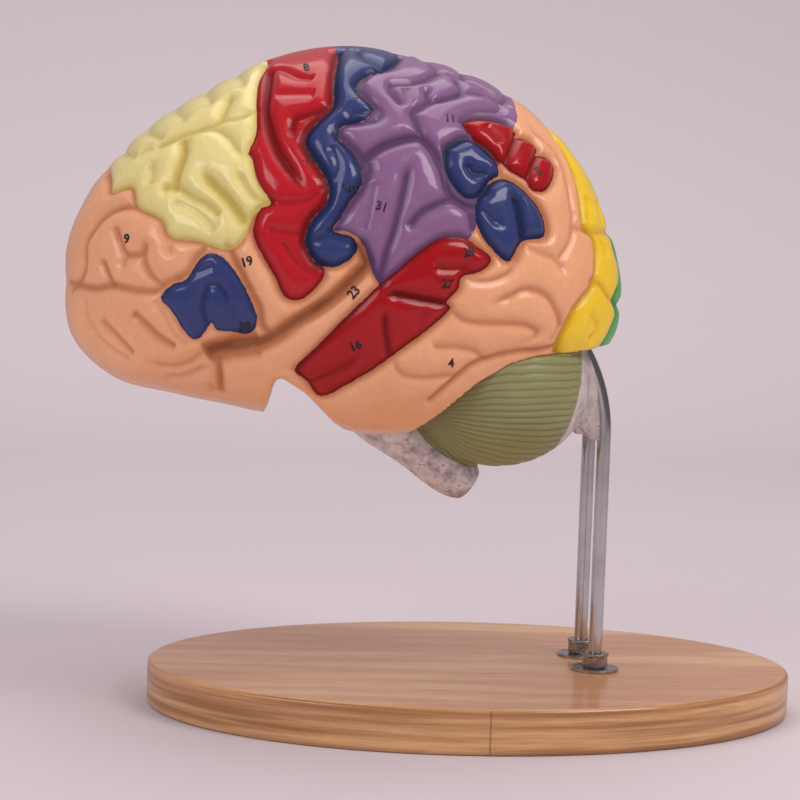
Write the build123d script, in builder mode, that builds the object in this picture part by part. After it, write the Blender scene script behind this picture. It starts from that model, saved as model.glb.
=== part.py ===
"""Brain model on a stand, about twice life size, in millimetres.

Two half brains face -X over an oval wooden board. Each half is carried by a polished rod
that stands in the board and curves forward into the brain stem casting, and each half
turns about its own rod, so that the model opens like a book. The origin is the middle of
the board's underside, +Z is up, and the left half of the brain is on the -Y side.
"""
import os
from math import cos, radians, sin

from build123d import *

os.makedirs("parts", exist_ok=True)

# Board
base_length = 380.0
base_width = 260.0
base_thickness = 25.0
base_edge_radius = 2.5

# Support rods, one for each half
rod_diameter = 8.0
rod_x = 70.5
rod_spacing = 42.0
rod_bottom = 2.0
rod_straight_top = 163.0
rod_bend_radius = 95.0
rod_bend_angle = 30.0
rod_socket_length = 22.0
rod_end_chamfer = 0.8

# Washers and nuts
foot_washer_diameter = 28.0
foot_washer_thickness = 1.6
lock_washer_diameter = 16.0
lock_washer_thickness = 1.6
lower_washer_diameter = 24.0
lower_washer_thickness = 1.6
nut_across_flats = 13.0
nut_height = 6.8
nut_face_diameter = 12.4
nut_turned_height = 0.7
washer_chamfer = 0.3
counterbore_diameter = 32.0
counterbore_depth = 12.0

# Fits
bore_clearance = 0.08
washer_clearance = 0.4
thread_fit = 0.04
turning_clearance = 0.1
seat_clearance = 0.3
median_gap = 1.0
cut_overlap = 1.0

# Cerebral hemisphere
hemisphere_width = 122.0
hemisphere_centre = (-75.0, 262.0)
hemisphere_outline = [
    (-242, 244), (-238, 274), (-222, 304), (-196, 332), (-162, 355), (-130, 372),
    (-88, 381), (-48, 377), (-8, 365), (27, 344), (54, 314), (71, 277),
    (78, 244), (70, 215), (40, 193), (4, 178), (-34, 166), (-66, 163),
    (-90, 166), (-108, 172), (-130, 173), (-152, 177), (-182, 182), (-214, 190), (-237, 212),
]
section_shares = [0.0, 0.05, 0.25, 0.5, 0.7, 0.84, 0.93, 0.975, 0.994]
section_fullness = 2.4
lower_fullness = 2.6
margin_inset = 6.0
margin_share = 0.05
sulcus_depth = 5.0
sulcus_width = 3.2
cutter_height = 30.0

# Seat between the hemisphere and the casting under it, seen from the side
seat_line = [(-50.0, 166.0), (-16.0, 194.0), (6.0, 205.0), (92.0, 222.0)]
seat_apron = (-92.0, 138.0)
seat_space_bottom = 60.0
seat_space_width = 132.0

# Notch between the tip of the temporal lobe and the underside of the frontal lobe
pole_notch = [(-128, 150), (-123, 191), (-119, 191), (-106, 181), (-103, 150)]
pole_notch_inner = 38.0

# Folds of the outer face, as paths seen from the side, each short enough for one flat floor
sulci = {
    "central_upper": [(-97, 374), (-101, 350), (-114, 327)],
    "central_lower": [(-114, 327), (-103, 302), (-104, 286), (-115, 268), (-105, 252)],
    "precentral_upper": [(-132, 366), (-140, 350), (-143, 318)],
    "precentral_lower": [(-143, 318), (-132, 289), (-141, 272), (-129, 245), (-113, 238)],
    "motor_fold": [(-134, 352), (-132, 320), (-123, 302), (-110, 293)],
    "postcentral_upper": [(-64, 370), (-85, 354), (-76, 343), (-97, 328)],
    "postcentral_lower": [(-97, 328), (-85, 312), (-85, 298), (-98, 276)],
    "face_fold": [(-98, 275), (-87, 269), (-92, 257), (-106, 253)],
    "lateral_fissure": [(-76, 262), (-88, 251), (-108, 234), (-124, 221), (-140, 209)],
    "temporal_pole": [(-140, 209), (-156, 201), (-158, 188)],
    "superior_temporal": [(-79, 250), (-95, 219), (-114, 198)],
    "middle_temporal": [(-104, 186), (-80, 197), (-56, 216)],
    "supramarginal": [(-78, 250), (-56, 263), (-38, 275), (-20, 269), (-14, 261), (-28, 252)],
    "temporal_step": [(-28, 252), (-36, 238), (-56, 216)],
    "premotor_lower": [(-218, 294), (-204, 291), (-189, 279), (-183, 268)],
    "premotor_edge": [(-183, 268), (-160, 264), (-142, 272)],
    "frontal_lobule": [(-196, 268), (-196, 250), (-188, 242), (-172, 250), (-166, 264)],
    "frontal_horizontal": [(-236, 242), (-215, 240), (-188, 241)],
    "orbital_upper": [(-203, 228), (-196, 221), (-180, 209)],
    "orbital_lower": [(-216, 221), (-203, 205)],
    "speech_front": [(-188, 240), (-178, 219), (-168, 211), (-160, 218)],
    "speech_rear": [(-160, 218), (-144, 214), (-137, 226), (-152, 259)],
    "parietal_arch": [(-84, 300), (-76, 315), (-60, 325), (-47, 314), (-37, 296)],
    "parietal_upper": [(-64, 350), (-62, 358), (-44, 360), (-46, 352), (-24, 350)],
    "parietal_step": [(-52, 344), (-50, 330), (-40, 322)],
    "angular_front": [(-41, 318), (-34, 299), (-22, 296), (-20, 276), (-5, 263)],
    "angular_lower": [(-5, 263), (3, 273), (16, 277), (12, 292), (1, 305)],
    "angular_upper": [(1, 305), (-10, 309), (-14, 322), (-32, 332)],
    "reading_area": [(-9, 311), (10, 301), (22, 312), (12, 326), (0, 338), (-28, 338)],
    "occipital_upper": [(18, 344), (30, 320), (38, 294)],
    "occipital_lower": [(38, 294), (48, 275), (47, 252), (32, 226)],
    "occipital_fold": [(5, 271), (22, 265), (32, 276), (33, 294)],
    "temporal_middle": [(-18, 234), (4, 247), (20, 244), (30, 231)],
    "temporal_inferior": [(-34, 231), (-16, 227), (10, 227)],
    "basal_loop": [(-56, 204), (-46, 215), (-24, 214), (-14, 207)],
}

# Folds of the flat median face
median_relief_depth = 2.0
median_relief_width = 4.0
median_folds = {
    "corpus_callosum_upper": [(-150, 238), (-140, 270), (-95, 290), (-40, 278), (-18, 250)],
    "corpus_callosum_lower": [(-134, 236), (-126, 258), (-92, 274), (-48, 262), (-32, 246)],
    "cingulate": [(-178, 232), (-170, 286), (-100, 322), (-30, 312), (-4, 338)],
    "parieto_occipital": [(30, 318), (14, 276), (2, 246)],
    "calcarine": [(58, 262), (30, 246), (2, 246)],
}

# Trough under the hemisphere that clears the brain stem
trough_front = -122.0
trough_rear = 24.0
trough_half_width = 40.0
trough_height = 210.0
trough_corner = 14.0
trough_depth = 80.0

# Brain stem, seen from the side and across
stem_stations = [(-84, 188), (-62, 172), (-36, 154), (-15, 138), (-5, 130)]
stem_half_widths = [30, 35, 25, 21, 15]
stem_half_depths = [18, 19, 16, 15, 10]
midbrain_centre = (-80.0, 0.0)
midbrain_half_length = 22.0
midbrain_half_width = 27.0
midbrain_bottom = 176.0
midbrain_socket = 14.0

# Cerebellum half
cerebellum_centre = (6.0, 193.0)
cerebellum_half_length = 54.0
cerebellum_half_height = 50.0
cerebellum_half_width = 98.0

# Web behind the cerebellum that holds the front of the rod
web_half_width = 7.0
web_foot = 160.0
web_notch = (55.0, 168.0)
web_notch_width = 7.0
web_top = 232.0

# Locating pins
pin_diameter = 6.0
pin_length = 26.0
pin_places = [(20.0, 50.0), (-18.0, 66.0)]
pin_hole_spare = 0.5

rod_radius = rod_diameter / 2
half_spacing = rod_spacing / 2
half_gap = median_gap / 2
nut_corner_radius = nut_across_flats / 2 / cos(radians(30))
nut_turned_reach = (nut_across_flats - nut_face_diameter / 2) / (nut_corner_radius - nut_face_diameter / 2)
bend_run = rod_bend_radius * (1 - cos(radians(rod_bend_angle)))
bend_rise = rod_bend_radius * sin(radians(rod_bend_angle))
bend_end = (rod_x - bend_run, rod_straight_top + bend_rise)


def rod_solid(radius, bottom, spare):
    """One rod, or the bore for it: a straight length, a bend and a straight end."""
    bend_axis = Axis((rod_x - rod_bend_radius, -half_spacing, rod_straight_top), (0, -1, 0))
    end_direction = (-sin(radians(rod_bend_angle)), 0, cos(radians(rod_bend_angle)))
    with BuildPart() as rod:
        with BuildSketch(Plane.XY.offset(bottom)):
            with Locations((rod_x, -half_spacing)):
                Circle(radius)
        extrude(amount=rod_straight_top - bottom)
        with BuildSketch(Plane.XY.offset(rod_straight_top)):
            with Locations((rod_x, -half_spacing)):
                Circle(radius)
        revolve(axis=bend_axis, revolution_arc=rod_bend_angle)
        with BuildSketch(Plane((bend_end[0], -half_spacing, bend_end[1]), z_dir=end_direction)):
            Circle(radius)
        extrude(amount=rod_socket_length + spare)
    return rod.part


def section_reach(share, fullness):
    """How far a section reaches from its centre, as a part of the median one."""
    return (1 - share**fullness) ** 0.5


def outline_points(share):
    """The hemisphere's side outline, drawn in towards its centre at a share of the width."""
    drawn_in = margin_inset * max(0.0, 1 - share / margin_share)
    points = []
    for x, z in hemisphere_outline:
        arm = Vector(x - hemisphere_centre[0], z - hemisphere_centre[1])
        downward = max(0.0, -arm.Y / arm.length)
        reach = section_reach(share, section_fullness + lower_fullness * downward**2)
        arm = arm * (reach - drawn_in / arm.length)
        points.append((hemisphere_centre[0] + arm.X, hemisphere_centre[1] + arm.Y))
    return points


def cerebral_body():
    """The left hemisphere without its folds, as sections stacked outward from the median plane."""
    with BuildPart() as body:
        for share in section_shares:
            with BuildSketch(Plane.XZ.offset(half_gap + share * hemisphere_width)):
                with BuildLine():
                    Spline(*outline_points(share), periodic=True)
                make_face()
        loft()
    return body.part


def on_surface(body, x, z):
    """The point of the outer face that is seen at x, z from the side."""
    hits = body.find_intersection_points(Axis((x, 0, z), (0, -1, 0)))
    return min((point for point, normal in hits), key=lambda point: point.Y)


def fold(body, path, depth, width):
    """A groove cutter: a band along the path, on a plane laid against the outer face."""
    points = [on_surface(body, x, z) for x, z in path]
    middle = on_surface(body, *path[len(path) // 2])
    outward = body.faces().sort_by(SortBy.AREA)[-1].normal_at(middle)
    floor = Plane(origin=middle - outward * depth, x_dir=(1, 0, 0.001), z_dir=outward)
    with BuildPart() as band:
        with BuildSketch(floor):
            with BuildLine() as line:
                Spline(*[tuple(floor.to_local_coords(point))[:2] for point in points])
            trace(line.line, line_width=width)
        extrude(amount=cutter_height)
    return band.part


def median_fold(path):
    """A shallow groove in the flat median face."""
    with BuildPart() as band:
        with BuildSketch(Plane.XZ.offset(half_gap + median_relief_depth)):
            with BuildLine() as line:
                Spline(*path)
            trace(line.line, line_width=median_relief_width)
        extrude(amount=-median_relief_depth - half_gap)
    return band.part


def below_seat():
    """The space under the seat line, across the whole half."""
    front, rear = seat_apron[0], seat_line[-1][0]
    with BuildPart() as space:
        with BuildSketch(Plane.XZ):
            Polygon(
                (front, seat_space_bottom), (rear, seat_space_bottom), *seat_line[::-1],
                seat_apron, align=None,
            )
        extrude(amount=seat_space_width)
    return space.part


def washer(diameter, thickness, clearance, bottom):
    """A flat washer round the left rod."""
    with BuildPart() as ring:
        with BuildSketch(Plane.XY.offset(bottom)):
            with Locations((rod_x, -half_spacing)):
                Circle(diameter / 2)
                Circle(rod_radius + clearance, mode=Mode.SUBTRACT)
        extrude(amount=thickness)
        chamfer(ring.edges().filter_by(GeomType.CIRCLE).sort_by(SortBy.RADIUS)[-2:], washer_chamfer)
    return ring.part


def nut(bottom):
    """A hexagon nut on the left rod, with its corners turned off at both ends."""
    top = bottom + nut_height
    axial_plane = Plane(origin=(rod_x, -half_spacing, 0), x_dir=(1, 0, 0), z_dir=(0, -1, 0))
    with BuildPart() as hexagon:
        with BuildSketch(Plane.XY.offset(bottom)):
            with Locations((rod_x, -half_spacing)):
                RegularPolygon(nut_across_flats / 2, 6, major_radius=False)
                Circle(rod_radius + thread_fit, mode=Mode.SUBTRACT)
        extrude(amount=nut_height)
        with BuildSketch(axial_plane):
            Polygon(
                (0, bottom), (nut_face_diameter / 2, bottom),
                (nut_across_flats, bottom + nut_turned_height * nut_turned_reach),
                (nut_across_flats, top - nut_turned_height * nut_turned_reach),
                (nut_face_diameter / 2, top), (0, top), align=None,
            )
        revolve(axis=Axis((rod_x, -half_spacing, 0), (0, 0, 1)), mode=Mode.INTERSECT)
    return hexagon.part


def seat_height(x):
    """Height of the seat at a distance from the middle of the board."""
    start, finish = next(pair for pair in zip(seat_line, seat_line[1:]) if x <= pair[1][0])
    return start[1] + (finish[1] - start[1]) * (x - start[0]) / (finish[0] - start[0])


def pin_solids(radius, spare):
    """The upright locating pins of the left half, or the holes for them."""
    with BuildPart() as pins:
        for x, y in pin_places:
            with BuildSketch(Plane.XY.offset(seat_height(x) - pin_length / 2 - spare)):
                with Locations((x, -y)):
                    Circle(radius)
            extrude(amount=pin_length + 2 * spare)
    return pins.part


def mirrored(part, label):
    """The right half's copy of a left piece."""
    with BuildPart() as copy:
        add(mirror(part, about=Plane.XZ, mode=Mode.PRIVATE))
    copy.part.label = label
    return copy.part


# Board: an oval with rounded edges, bored for the rods and counterbored from below
with BuildPart() as base_board:
    with BuildSketch():
        Ellipse(base_length / 2, base_width / 2)
    extrude(amount=base_thickness)
    fillet(base_board.edges(), base_edge_radius)
    with BuildSketch():
        with Locations((rod_x, -half_spacing), (rod_x, half_spacing)):
            Circle(rod_radius + bore_clearance)
    extrude(amount=base_thickness, mode=Mode.SUBTRACT)
    with BuildSketch():
        with Locations((rod_x, -half_spacing), (rod_x, half_spacing)):
            Circle(counterbore_diameter / 2)
    extrude(amount=counterbore_depth, mode=Mode.SUBTRACT)

# Foot of each rod, from the board's top upward and from the counterbore downward
foot_nut_bottom = base_thickness + foot_washer_thickness + turning_clearance
lower_washer_bottom = counterbore_depth - lower_washer_thickness
lower_nut_bottom = lower_washer_bottom - turning_clearance - nut_height
foot_washer = washer(foot_washer_diameter, foot_washer_thickness, washer_clearance, base_thickness)
lower_washer = washer(
    lower_washer_diameter, lower_washer_thickness, washer_clearance, lower_washer_bottom
)
foot_nut = nut(foot_nut_bottom)
lower_nut = nut(lower_nut_bottom)
lock_washer = washer(
    lock_washer_diameter, lock_washer_thickness, bore_clearance, foot_nut_bottom + nut_height
)

# Rod: straight through the board, then bent forward into its sockets
with BuildPart() as support_rod:
    add(rod_solid(rod_radius, rod_bottom, 0))
    chamfer(support_rod.edges().group_by(Axis.Z)[0], rod_end_chamfer)

# Left brain stem casting: stem, midbrain column, cerebellum half and the web on the rod
stem_start = Vector(stem_stations[0][0], 0, stem_stations[0][1])
stem_finish = Vector(stem_stations[-1][0], 0, stem_stations[-1][1])
stem_direction = (stem_finish - stem_start).normalized()
midbrain_top = trough_height + midbrain_socket
with BuildPart() as cerebellum:
    for share in section_shares:
        reach = section_reach(share, section_fullness)
        with BuildSketch(Plane.XZ.offset(half_gap + share * cerebellum_half_width)):
            with Locations(cerebellum_centre):
                Ellipse(cerebellum_half_length * reach, cerebellum_half_height * reach)
    loft()
with BuildPart() as stem:
    for (x, z), half_width, half_depth in zip(stem_stations, stem_half_widths, stem_half_depths):
        with BuildSketch(Plane(origin=(x, 0, z), x_dir=(0, 1, 0), z_dir=stem_direction)):
            Ellipse(half_width, half_depth)
    loft()
with BuildPart() as stem_casting:
    add(cerebellum.part)
    with BuildSketch(Plane.XZ.offset(half_spacing - web_half_width)):
        with BuildLine():
            Polyline(
                bend_end, (bend_end[0], web_top), (cerebellum_centre[0], web_top),
                (cerebellum_centre[0], web_notch[1]), web_notch,
                (web_notch[0] + web_notch_width, web_foot), (rod_x, web_foot),
                (rod_x, rod_straight_top),
            )
            TangentArc((rod_x, rod_straight_top), bend_end, tangent=(0, 1))
        make_face()
    extrude(amount=2 * web_half_width)
    add(below_seat(), mode=Mode.INTERSECT)
    add(stem.part)
    with BuildSketch(Plane.XY.offset(midbrain_bottom)):
        with Locations(midbrain_centre):
            Ellipse(midbrain_half_length, midbrain_half_width)
    extrude(amount=midbrain_top - midbrain_bottom)
    split(bisect_by=Plane.XZ.offset(half_gap), keep=Keep.TOP)
    add(rod_solid(rod_radius + bore_clearance, rod_bottom, pin_hole_spare), mode=Mode.SUBTRACT)
    add(pin_solids(pin_diameter / 2 + bore_clearance, pin_hole_spare), mode=Mode.SUBTRACT)

# Left hemisphere: folded outer face, plain median face, flat seat, trough and sockets
smooth_body = cerebral_body()
with BuildPart() as hemisphere:
    add(smooth_body)
    add([fold(smooth_body, path, sulcus_depth, sulcus_width) for path in sulci.values()],
        mode=Mode.SUBTRACT)
    add([median_fold(path) for path in median_folds.values()], mode=Mode.SUBTRACT)
    add(below_seat(), mode=Mode.SUBTRACT)
    with BuildSketch(Plane.XZ.offset(pole_notch_inner)):
        Polygon(*pole_notch, align=None)
    extrude(amount=seat_space_width - pole_notch_inner, mode=Mode.SUBTRACT)
    with BuildSketch(Plane.YZ.offset(trough_front)) as trough_end:
        with Locations((0, trough_height - trough_depth / 2)):
            Rectangle(2 * trough_half_width, trough_depth)
        fillet(trough_end.vertices().group_by(Axis.Z)[-1], trough_corner)
    extrude(amount=trough_rear - trough_front, mode=Mode.SUBTRACT)
    with BuildSketch(Plane.XY.offset(trough_height - cut_overlap)):
        with Locations(midbrain_centre):
            Ellipse(midbrain_half_length + seat_clearance, midbrain_half_width + seat_clearance)
    extrude(amount=midbrain_socket + cut_overlap, mode=Mode.SUBTRACT)
    add(rod_solid(rod_radius + bore_clearance, rod_bottom, pin_hole_spare), mode=Mode.SUBTRACT)
    add(pin_solids(pin_diameter / 2 + bore_clearance, pin_hole_spare), mode=Mode.SUBTRACT)

# Pins between cerebellum and hemisphere
locating_pins = pin_solids(pin_diameter / 2, 0)

# Every piece of the left half, with its mirror image for the right half
left_pieces = {
    "foot_washer": foot_washer,
    "lower_washer": lower_washer,
    "foot_nut": foot_nut,
    "lock_washer": lock_washer,
    "lower_nut": lower_nut,
    "support_rod": support_rod.part,
    "stem_casting": stem_casting.part,
    "hemisphere": hemisphere.part,
    "locating_pins": locating_pins,
}
base_board.part.label = "base_board"
export_step(base_board.part, "parts/base_board.step")
for name, piece in left_pieces.items():
    piece.label = "left_" + name
    export_step(piece, "parts/left_" + name + ".step")
    export_step(mirrored(piece, "right_" + name), "parts/right_" + name + ".step")
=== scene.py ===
import math

import bmesh
import bpy
import numpy as np
from mathutils import Matrix, Vector, noise
from mathutils.bvhtree import BVHTree


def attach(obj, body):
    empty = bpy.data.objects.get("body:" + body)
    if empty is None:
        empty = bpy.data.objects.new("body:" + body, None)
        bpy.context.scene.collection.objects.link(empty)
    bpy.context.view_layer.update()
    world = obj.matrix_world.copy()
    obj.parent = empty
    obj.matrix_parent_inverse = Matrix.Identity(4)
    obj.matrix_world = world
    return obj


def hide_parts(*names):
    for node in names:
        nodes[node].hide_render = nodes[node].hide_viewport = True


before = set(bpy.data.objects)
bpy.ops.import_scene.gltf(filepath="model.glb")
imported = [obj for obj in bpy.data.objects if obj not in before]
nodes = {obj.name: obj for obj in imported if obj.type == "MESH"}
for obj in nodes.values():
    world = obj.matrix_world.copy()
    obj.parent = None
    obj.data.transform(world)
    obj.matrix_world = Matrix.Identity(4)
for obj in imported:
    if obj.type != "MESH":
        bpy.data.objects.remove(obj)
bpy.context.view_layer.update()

scene = bpy.context.scene
millimetre = 0.001

# The camera stands level with the brain, a little to its front, and is turned by
# nearly two degrees as the photograph is.
camera_place = Vector((-0.1810, -1.1597, 0.2600))
looking = Vector((0.11430, 0.99103, -0.06922))
across = Vector((0.99311, -0.11219, 0.03377))
camera_data = bpy.data.cameras.new("camera")
camera_data.lens = 90.0
camera = bpy.data.objects.new("camera", camera_data)
scene.collection.objects.link(camera)
camera_turn = Matrix((across, across.cross(looking), -looking)).transposed()
camera.matrix_world = Matrix.Translation(camera_place) @ camera_turn.to_4x4()
scene.camera = camera


# The studio: a pale lilac-grey sheet that runs forward as the floor and curves up behind,
# with soft lamps high on the right, on the left and above. The sheet is paler in the light
# it gives back to the object than to the camera, and darker where gloss mirrors it.
class Link:
    """A value in a material's nodes. Arithmetic on it adds Math nodes."""

    def __init__(self, tree, socket):
        self.tree = tree
        self.socket = socket

    def node(self, kind, settings, values, output=0):
        """A node of this kind, its settings first and then the values or links of its sockets."""
        made = self.tree.nodes.new("ShaderNode" + kind)
        for key, value in settings.items():
            if key == "stops":
                ramp = made.color_ramp
                while len(ramp.elements) < len(value):
                    ramp.elements.new(0.5)
                for element, (position, colour) in zip(ramp.elements, value):
                    element.position = position
                    element.color = colour
            else:
                setattr(made, key, value)
        for key, value in values.items():
            self.feed(made.inputs[key], value)
        return Link(self.tree, made.outputs[output])

    def feed(self, entry, value):
        """Links a value to a socket, or sets it there."""
        if isinstance(value, Link):
            self.tree.links.new(value.socket, entry)
        else:
            entry.default_value = value

    def sum(self, operation, first, second):
        return self.node("Math", {"operation": operation}, {0: first, 1: second})

    def __add__(self, other):
        return self.sum("ADD", self, other)

    def __sub__(self, other):
        return self.sum("SUBTRACT", self, other)

    def __rsub__(self, other):
        return self.sum("SUBTRACT", other, self)

    def __mul__(self, other):
        return self.sum("MULTIPLY", self, other)

    def __truediv__(self, other):
        return self.sum("DIVIDE", self, other)

    def function(self, operation, other=0.0):
        """A Math node of one or two values, such as SINE or POWER."""
        return self.sum(operation, self, other)

    def ramp(self, low, high, start=0.0, finish=1.0):
        """Runs smoothly from start to finish as the value goes from low to high."""
        return self.node("MapRange", {"interpolation_type": "SMOOTHSTEP"}, {
            "Value": self, "From Min": low, "From Max": high, "To Min": start, "To Max": finish})

    def part(self, axis):
        """One coordinate, 0 for X to 2 for Z."""
        return self.node("SeparateXYZ", {}, {0: self}, axis)

    def shifted(self, place=(0, 0, 0), scale=(1, 1, 1), turn=(0, 0, 0)):
        return self.node("Mapping", {}, {
            "Vector": self, "Location": place, "Rotation": turn, "Scale": scale})

    def cloud(self, scale, detail=3.0, roughness=0.5, distortion=0.0):
        """Soft noise from 0 to 1 at a scale in cycles per metre."""
        return self.node("TexNoise", {}, {
            "Vector": self, "Scale": scale, "Detail": detail, "Roughness": roughness,
            "Distortion": distortion})

    def blend(self, first, second, kind="MIX"):
        """First colour where the value is 0, second where it is 1."""
        return self.node("Mix", {"data_type": "RGBA", "blend_type": kind},
                         {0: self, 6: first, 7: second}, 2)

    def relief(self, strength, distance):
        """A normal from this height."""
        return self.node("Bump", {}, {"Height": self, "Strength": strength, "Distance": distance})


def tint(code):
    """A colour from its six hex digits, as Blender's sockets take it."""
    parts = [int(code[i:i + 2], 16) / 255 for i in (0, 2, 4)]
    return [c / 12.92 if c <= 0.04045 else ((c + 0.055) / 1.055) ** 2.4 for c in parts] + [1.0]


def new_finish(name, **values):
    """A material, its shader and its Object coordinates; values are the shader's own."""
    made = bpy.data.materials.new(name)
    made.use_nodes = True
    shader = made.node_tree.nodes["Principled BSDF"]
    for key, value in values.items():
        shader.inputs[key.replace("_", " ")].default_value = value
    corner = made.node_tree.nodes.new("ShaderNodeTexCoord")
    return made, shader.inputs, Link(made.node_tree, corner.outputs["Object"])


def new_piece(name, mesh):
    """An object at the origin that shows this bmesh."""
    data = bpy.data.meshes.new(name)
    mesh.to_mesh(data)
    mesh.free()
    made = bpy.data.objects.new(name, data)
    scene.collection.objects.link(made)
    return made


floor_front = -3.0
floor_rear = 1.5
sheet_half_width = 4.5
sheet_top = 3.5
cove_radius = 0.9
cove_steps = 12
sheet = bmesh.new()
profile = [(floor_front, 0.0)]
for step in range(cove_steps + 1):
    turn = math.radians(90 * step / cove_steps)
    profile.append((floor_rear + cove_radius * math.sin(turn),
                    cove_radius * (1 - math.cos(turn))))
profile.append((floor_rear + cove_radius, sheet_top))
corners = [sheet.verts.new((-sheet_half_width, y, z)) for y, z in profile]
edges = [sheet.edges.new(pair) for pair in zip(corners, corners[1:])]
drawn = bmesh.ops.extrude_edge_only(sheet, edges=edges)["geom"]
bmesh.ops.translate(sheet, vec=(2 * sheet_half_width, 0, 0),
                    verts=[v for v in drawn if isinstance(v, bmesh.types.BMVert)])
bmesh.ops.recalc_face_normals(sheet, faces=sheet.faces)
for face in sheet.faces:
    face.smooth = True
backdrop = new_piece("backdrop", sheet)
paper, paper_sockets, place = new_finish("backdrop_paper", Roughness=0.9, Specular_IOR_Level=0.1)
mottle = place.cloud(2.0, 2.0)
# Painted shade: the one sheet is coloured darker on the floor than low on the wall, and darkens
# up the wall towards the top.
floor_paper = mottle.blend(tint("C9BFC5"), tint("C4B9BE"))
wall_paper = place.part(2).ramp(0.1, 1.0).blend(tint("E1D7DB"), tint("D6CCD1"))
rising = place.part(1).ramp(0.4, floor_rear + cove_radius)
seen = rising.blend(floor_paper, wall_paper)
camera_ray, glossy_ray = 0, 3
given_back = place.node("LightPath", {}, {}, camera_ray).blend(tint("E6DEE0"), seen)
mirrored = place.node("LightPath", {}, {}, glossy_ray)
place.feed(paper_sockets["Base Color"], mirrored.blend(given_back, tint("B0A7AB")))
backdrop.data.materials.append(paper)

air_strength = 0.60
mirrored_loss = 0.48
world = bpy.data.worlds.new("studio_air")
world.use_nodes = True
air = world.node_tree.nodes["Background"].inputs
air["Color"].default_value = tint("F6F1F3")
light_path = world.node_tree.nodes.new("ShaderNodeLightPath")
mirrored = Link(world.node_tree, light_path.outputs["Is Glossy Ray"])
mirrored.feed(air["Strength"], mirrored * -mirrored_loss + air_strength)
scene.world = world
target = Vector((-0.05, 0.0, 0.2))
lamps = {
    # place, side in metres, watts, colour
    "lamp_high_right": ((1.1, -1.0, 1.7), 1.0, 23.0, "FFF8F4"),
    "lamp_high_left": ((-1.5, -1.1, 1.3), 0.9, 11.0, "FBFAFF"),
    "lamp_above": ((0.0, 0.5, 1.9), 1.5, 13.0, "FFFCFA"),
}
for name, (spot, size, power, colour) in lamps.items():
    lamp = bpy.data.lights.new(name, "AREA")
    lamp.shape = "SQUARE"
    lamp.size = size
    lamp.energy = power
    lamp.color = tint(colour)[:3]
    holder = bpy.data.objects.new(name, lamp)
    scene.collection.objects.link(holder)
    holder.location = spot
    holder.rotation_euler = (target - Vector(spot)).to_track_quat("-Z", "Y").to_euler()
scene.view_settings.view_transform = "Standard"


# Board: an oval of pale hardwood with long straight grain, sanded round at its top edge and
# varnished. A bent strip of the same wood is glued round its side and meets at the front.
varnished_wood, wood_sockets, place = new_finish(
    "varnished_wood", Roughness=0.38, Coat_Weight=0.7, Coat_Roughness=0.14)
board_half_length = 0.190
board_half_width = 0.130
strip_joint_x = -0.008
strip_inside, strip_outside = 0.975, 0.99
bands_per_metre = 38.0
grain_slant = 0.05
grain_warp = 0.06
warp = place.shifted(scale=(1.2, 4.0, 4.0)).cloud(2.2, 3.0) - 0.5
rows = place.part(1) + place.part(0) * grain_slant + warp * grain_warp
bands = (rows * bands_per_metre).function("FRACT")
late_wood = bands.ramp(0.25, 0.95) * (1.0 - bands.ramp(0.95, 1.0))
fibre = place.shifted(scale=(5.0, 130.0, 130.0)).cloud(6.0, 4.0, 0.6)
pores = place.shifted(scale=(30.0, 900.0, 900.0)).cloud(3.0, 2.0)
tone = place.shifted(scale=(1.0, 5.0, 5.0)).cloud(4.0, 2.0)
wood_colour = (late_wood * 0.45).blend(tint("DCAC7C"), tint("B58052"))
wood_colour = (tone.ramp(0.38, 0.62) * 0.7).blend(wood_colour, tint("B97C52"))
wood_colour = (fibre.ramp(0.4, 0.75) * 0.35).blend(wood_colour, tint("96623A"))
wood_colour = (pores.ramp(0.62, 0.75) * 0.35).blend(wood_colour, tint("85562F"))
from_middle = (place.part(0) / board_half_length).function("POWER", 2.0)
from_middle = from_middle + (place.part(1) / board_half_width).function("POWER", 2.0)
strip = from_middle.ramp(strip_inside, strip_outside)
layers = place.shifted(scale=(3.0, 3.0, 110.0)).cloud(2.0, 3.0, 0.55)
strip_fibre = place.shifted(scale=(30.0, 30.0, 700.0)).cloud(2.0, 3.0)
strip_colour = layers.ramp(0.35, 0.65).blend(tint("CC9A69"), tint("946237"))
strip_colour = (strip_fibre.ramp(0.45, 0.75) * 0.4).blend(strip_colour, tint("A26A38"))
seam = 1.0 - (place.part(0) - strip_joint_x).function("ABSOLUTE").ramp(0.0003, 0.0007)
strip_colour = (seam * place.part(1).ramp(0.01, -0.01) * 0.6).blend(strip_colour, tint("6A4526"))
place.feed(wood_sockets["Base Color"], strip.blend(wood_colour, strip_colour))
place.feed(wood_sockets["Roughness"], fibre.ramp(0.3, 0.8, 0.32, 0.48))
place.feed(wood_sockets["Normal"], (fibre * 0.4 + late_wood * 0.3).relief(0.12, 0.0004))
nodes["base_board"].data.materials.clear()
nodes["base_board"].data.materials.append(varnished_wood)


# Rods: 8 mm round bar, bent cold near the top, polished and chromed.
polished_rod, rod_sockets, place = new_finish("polished_rod", Metallic=1.0)
drawn_marks = place.shifted(scale=(900.0, 900.0, 8.0)).cloud(2.0, 2.0)
smears = place.cloud(60.0, 3.0)
rod_colour = smears.ramp(0.3, 0.8).blend(tint("D9D6D8"), tint("C3C0C3"))
place.feed(rod_sockets["Base Color"], rod_colour)
place.feed(rod_sockets["Roughness"], drawn_marks.ramp(0.2, 0.8, 0.10, 0.22))
place.feed(rod_sockets["Normal"], drawn_marks.relief(0.05, 0.0002))
for side in ("left", "right"):
    rod = nodes[side + "_support_rod"]
    rod.data.materials.clear()
    rod.data.materials.append(polished_rod)


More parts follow.
